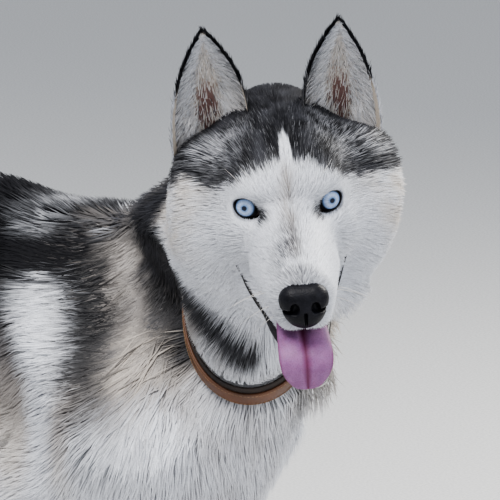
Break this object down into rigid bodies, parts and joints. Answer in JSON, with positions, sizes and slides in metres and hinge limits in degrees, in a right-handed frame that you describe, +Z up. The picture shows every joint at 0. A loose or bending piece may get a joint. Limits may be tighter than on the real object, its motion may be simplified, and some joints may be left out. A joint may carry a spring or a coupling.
{
  "type": "dog figure",
  "caption": "Life-size husky-type dog standing on all fours, head turned to its right, mouth open with tongue out, tail over its back, wearing a leather collar",
  "frame": {"origin": "on the floor, below the middle of the bounding box", "axes": "+X is the way the body faces, +Y is the dog's left, +Z is up"},
  "size_m": [0.8624, 0.239, 0.7658],
  "materials": {
    "coat_white": "dense matt fur, white to cream",
    "coat_grey": "dense matt fur, banded grey",
    "coat_dark": "dense matt fur, charcoal",
    "iris": "wet pale blue eye",
    "nose": "moist pebbled skin",
    "tongue": "wet, soft",
    "strap": "oiled brown strap with a dark lining",
    "metal": "polished buckle and ring"
  },
  "bodies": {
    "root": {"head": "coat_white", "jaw": "coat_white", "tongue": "tongue", "nose": "nose", "eye_left": "iris", "eye_right": "iris", "ear_left": "coat_white", "ear_right": "coat_white", "neck": "coat_grey", "collar_strap": "strap", "collar_buckle": "metal", "collar_ring": "metal", "torso": "coat_dark", "fore_leg_left": "coat_white", "fore_paw_left": "coat_white", "fore_leg_right": "coat_white", "fore_paw_right": "coat_white", "thigh_left": "coat_grey", "hock_left": "coat_white", "hind_paw_left": "coat_white", "thigh_right": "coat_grey", "hock_right": "coat_white", "hind_paw_right": "coat_white", "tail_base": "coat_dark", "tail_tip": "coat_dark"}
  },
  "joints": []
}
